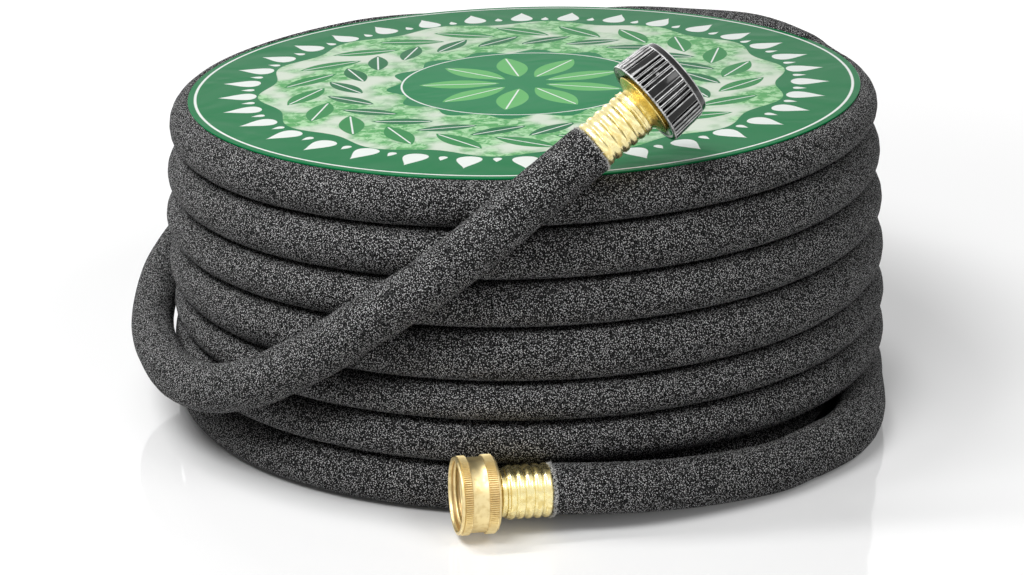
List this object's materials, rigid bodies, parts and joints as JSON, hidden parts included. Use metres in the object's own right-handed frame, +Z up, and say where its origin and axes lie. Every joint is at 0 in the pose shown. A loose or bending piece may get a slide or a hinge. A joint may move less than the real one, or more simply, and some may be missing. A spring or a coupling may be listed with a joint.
{
  "type": "soaker hose",
  "caption": "Porous rubber soaker hose in a flat round coil, with a brass swivel nut on one end, a capped threaded end on the other and a round printed card on top.",
  "frame": {"origin": "on the floor, under the middle of the whole part's box", "axes": "+Z up along the coil's axis, +Y to the back, away from the swivel nut, +X to the right seen from the nut's side"},
  "size_m": [0.324, 0.3617, 0.184],
  "materials": {
    "hose_rubber": "dull porous crumb rubber with pale specks",
    "ferrule_brass": "bright, pale, rolled",
    "fitting_brass": "bright, turned",
    "nut_brass": "satin, knurled",
    "cap_plastic": "glossy black moulding",
    "washer_rubber": "smooth black",
    "card_print": "laminated green print, glossy"
  },
  "bodies": {
    "hose": {"hose_coil": "hose_rubber", "inner_turns": "hose_rubber", "hose_lead": "hose_rubber", "hose_tail": "hose_rubber", "female_ferrule": "ferrule_brass", "female_stem": "fitting_brass", "male_ferrule": "ferrule_brass", "male_fitting": "fitting_brass", "label_card": "card_print"},
    "nut": {"swivel_nut": "nut_brass", "hose_washer": "washer_rubber"},
    "cap_seal": {"cap_washer": "washer_rubber"},
    "cap": {"end_cap": "cap_plastic"}
  },
  "joints": [
    {"name": "nut_swivel", "type": "hinge", "parent": "hose", "child": "nut", "pos_m": [0.01522, -0.15869, 0.0167], "axis": [-0.9778, -0.2078, 0.0262], "continuous": true},
    {"name": "cap_travel", "type": "slide", "parent": "hose", "child": "cap_seal", "axis": [0.7647, 0.3009, 0.5699], "range_m": [0, 0.00994]},
    {"name": "cap_turn", "type": "hinge", "parent": "cap_seal", "child": "cap", "pos_m": [0.03221, -0.14247, 0.1472], "axis": [0.7647, 0.3009, 0.5699], "range_deg": [0, 1620]}
  ],
  "couplings": [
    {"joint": "cap_turn", "follows": "cap_travel", "rad_per_m": 2844.7}
  ]
}
